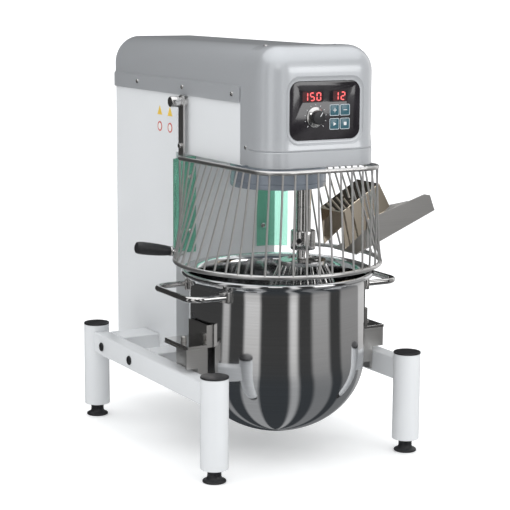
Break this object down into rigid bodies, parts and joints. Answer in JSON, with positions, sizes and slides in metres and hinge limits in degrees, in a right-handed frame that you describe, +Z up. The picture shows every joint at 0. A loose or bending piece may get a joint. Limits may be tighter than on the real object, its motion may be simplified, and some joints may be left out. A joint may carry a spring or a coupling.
{
  "type": "commercial stand mixer",
  "caption": "Planetary stand mixer on a tubular floor frame, with a steel bowl, balloon whisk, wire guard with a filling chute, and a front control panel.",
  "frame": {"origin": "bottom centre of the object's box, on the floor between the four feet", "axes": "+Z up, -Y towards the front with the control panel and the bowl, +X towards the chute"},
  "size_m": [0.5662, 0.6528, 0.741],
  "materials": {
    "white_paint": "powder coat, smooth",
    "silver_paint": "silver metallic paint",
    "polished_steel": "polished stainless steel",
    "wire_steel": "drawn stainless wire",
    "satin_steel": "satin stainless sheet",
    "mirror_steel": "mirror stainless sheet",
    "drum_paint": "blue-grey metallic",
    "black_plastic": "moulded",
    "black_panel": "glossy membrane",
    "display": "dark red display windows",
    "button": "blue-green keys",
    "green_acrylic": "transparent green acrylic",
    "cast_iron": "as cast",
    "gear_steel": "machined",
    "rubber": "moulded belt"
  },
  "bodies": {
    "frame": {"side_frame_left": "white_paint", "side_frame_right": "white_paint", "front_cross_member": "white_paint", "rear_cross_member": "white_paint", "leg_cap_front_left": "black_plastic", "leg_cap_front_right": "black_plastic", "leg_cap_rear_left": "black_plastic", "leg_cap_rear_right": "black_plastic", "body_shell": "white_paint", "rear_panel": "white_paint", "top_cover": "silver_paint", "nose_cover": "silver_paint", "control_panel": "black_panel", "display_board": "display", "motor_housing": "cast_iron", "drive_belt": "rubber", "bearing_housing": "cast_iron", "upper_bearing": "gear_steel", "lower_bearing": "gear_steel", "ring_gear": "gear_steel", "splash_panel_left": "green_acrylic", "splash_panel_right": "green_acrylic", "bowl_bracket_left": "satin_steel", "bowl_bracket_right": "satin_steel", "guard_pivot_left": "polished_steel", "guard_pivot_right": "polished_steel"},
    "carrier": {"planet_drum": "drum_paint", "main_shaft": "gear_steel", "driven_pulley": "cast_iron", "spindle_bearing": "gear_steel"},
    "spindle": {"planet_pinion": "gear_steel", "agitator_shaft": "polished_steel", "tool_hub": "polished_steel", "whisk": "polished_steel"},
    "rotor": {"rotor_shaft": "gear_steel", "motor_pulley": "cast_iron"},
    "guard": {"guard_cage_1": "wire_steel", "guard_cage_2": "wire_steel", "guard_cage_3": "wire_steel", "guard_cage_4": "wire_steel", "guard_cage_5": "wire_steel", "guard_arm_left": "satin_steel", "guard_arm_right": "satin_steel", "guard_grip": "black_plastic", "chute_spout": "mirror_steel", "chute_trough": "satin_steel"},
    "bowl": {"bowl": "polished_steel", "bowl_handle_left": "polished_steel", "bowl_handle_right": "polished_steel", "bowl_lug_left": "satin_steel", "bowl_lug_right": "satin_steel"},
    "speed_knob": {"speed_knob": "polished_steel"},
    "push_button_1": {"push_button_1": "button"},
    "push_button_2": {"push_button_2": "button"},
    "push_button_3": {"push_button_3": "button"},
    "push_button_4": {"push_button_4": "button"},
    "foot_front_left": {"foot_front_left": "black_plastic"},
    "foot_front_right": {"foot_front_right": "black_plastic"},
    "foot_rear_left": {"foot_rear_left": "black_plastic"},
    "foot_rear_right": {"foot_rear_right": "black_plastic"}
  },
  "joints": [
    {"name": "carrier_turn", "type": "hinge", "parent": "frame", "child": "carrier", "pos_m": [-0.0409, -0.1369, 0.487], "axis": [0, 0, 1], "continuous": true},
    {"name": "spindle_spin", "type": "hinge", "parent": "carrier", "child": "spindle", "pos_m": [-0.00084, -0.15952, 0.4054], "axis": [0, 0, 1], "continuous": true},
    {"name": "motor_spin", "type": "hinge", "parent": "frame", "child": "rotor", "pos_m": [-0.0409, 0.2031, 0.625], "axis": [0, 0, 1], "continuous": true},
    {"name": "guard_lift", "type": "hinge", "parent": "frame", "child": "guard", "pos_m": [-0.0409, 0.0151, 0.63], "axis": [-1, 0, 0], "range_deg": [0, 60]},
    {"name": "bowl_lift", "type": "slide", "parent": "frame", "child": "bowl", "axis": [0, 0, 1], "range_m": [0, 0.012]},
    {"name": "speed_knob_turn", "type": "hinge", "parent": "frame", "child": "speed_knob", "pos_m": [-0.0604, -0.2904, 0.621], "axis": [0, -1, 0], "range_deg": [-135, 135]},
    {"name": "push_button_1_press", "type": "slide", "parent": "frame", "child": "push_button_1", "axis": [0, 1, 0], "range_m": [0, 0.001], "stiffness_N_per_m": 400, "springref_m": -0.001},
    {"name": "push_button_2_press", "type": "slide", "parent": "frame", "child": "push_button_2", "axis": [0, 1, 0], "range_m": [0, 0.001], "stiffness_N_per_m": 400, "springref_m": -0.001},
    {"name": "push_button_3_press", "type": "slide", "parent": "frame", "child": "push_button_3", "axis": [0, 1, 0], "range_m": [0, 0.001], "stiffness_N_per_m": 400, "springref_m": -0.001},
    {"name": "push_button_4_press", "type": "slide", "parent": "frame", "child": "push_button_4", "axis": [0, 1, 0], "range_m": [0, 0.001], "stiffness_N_per_m": 400, "springref_m": -0.001},
    {"name": "foot_front_left_screw", "type": "slide", "parent": "frame", "child": "foot_front_left", "axis": [0, 0, -1], "range_m": [0, 0.012]},
    {"name": "foot_front_right_screw", "type": "slide", "parent": "frame", "child": "foot_front_right", "axis": [0, 0, -1], "range_m": [0, 0.012]},
    {"name": "foot_rear_left_screw", "type": "slide", "parent": "frame", "child": "foot_rear_left", "axis": [0, 0, -1], "range_m": [0, 0.012]},
    {"name": "foot_rear_right_screw", "type": "slide", "parent": "frame", "child": "foot_rear_right", "axis": [0, 0, -1], "range_m": [0, 0.012]}
  ],
  "couplings": [
    {"joint": "spindle_spin", "follows": "carrier_turn", "ratio": -3.3},
    {"joint": "motor_spin", "follows": "carrier_turn", "ratio": 2.5}
  ]
}
